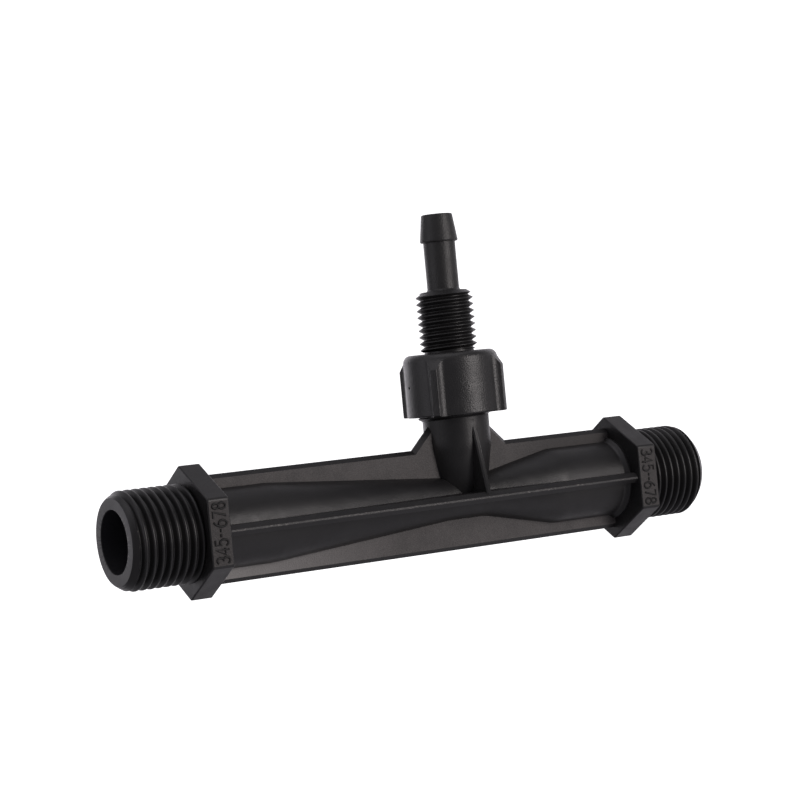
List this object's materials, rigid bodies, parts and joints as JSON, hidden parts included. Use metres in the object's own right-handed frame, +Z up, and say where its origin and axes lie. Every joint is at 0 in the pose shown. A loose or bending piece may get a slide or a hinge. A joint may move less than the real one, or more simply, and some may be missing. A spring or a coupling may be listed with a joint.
{
  "type": "venturi fertilizer injector",
  "caption": "Straight venturi injector for a half inch water line: male threaded ends, finned waisted body, and a suction stem with union nut, threaded hose nipple and barb.",
  "frame": {"origin": "on the pipe axis, in the outer face of the outlet flange, where the outlet thread ends", "axes": "+X along the pipe axis from outlet to inlet, +Z up the suction stem, -Y the front that the picture shows, with a flange flat square to it"},
  "size_m": [0.1459, 0.0244, 0.0771],
  "materials": {
    "body_plastic": "spark-eroded satin black, coarser and greyer on the flat webs and flange flats",
    "nipple_plastic": "smooth satin black",
    "nut_plastic": "fine grained satin black",
    "seal_rubber": "matt",
    "ball_plastic": "polished white"
  },
  "bodies": {
    "body": {"injector_body": "body_plastic", "sealing_ring": "seal_rubber"},
    "nipple": {"hose_nipple": "nipple_plastic"},
    "nut": {"union_nut": "nut_plastic"},
    "ball": {"check_ball": "ball_plastic"}
  },
  "joints": [
    {"name": "nipple_lift", "type": "slide", "parent": "body", "child": "nipple", "axis": [0, 0, 1], "range_m": [0, 0.0067]},
    {"name": "nut_turn", "type": "hinge", "parent": "nipple", "child": "nut", "pos_m": [0.0685, 0, 0.025], "axis": [0, 0, 1], "range_deg": [0, 1800]},
    {"name": "ball_lift", "type": "slide", "parent": "body", "child": "ball", "axis": [0, 0, 1], "range_m": [0, 0.0021]}
  ],
  "couplings": [
    {"joint": "nipple_lift", "follows": "nut_turn", "m_per_rad": 0.00021279}
  ]
}
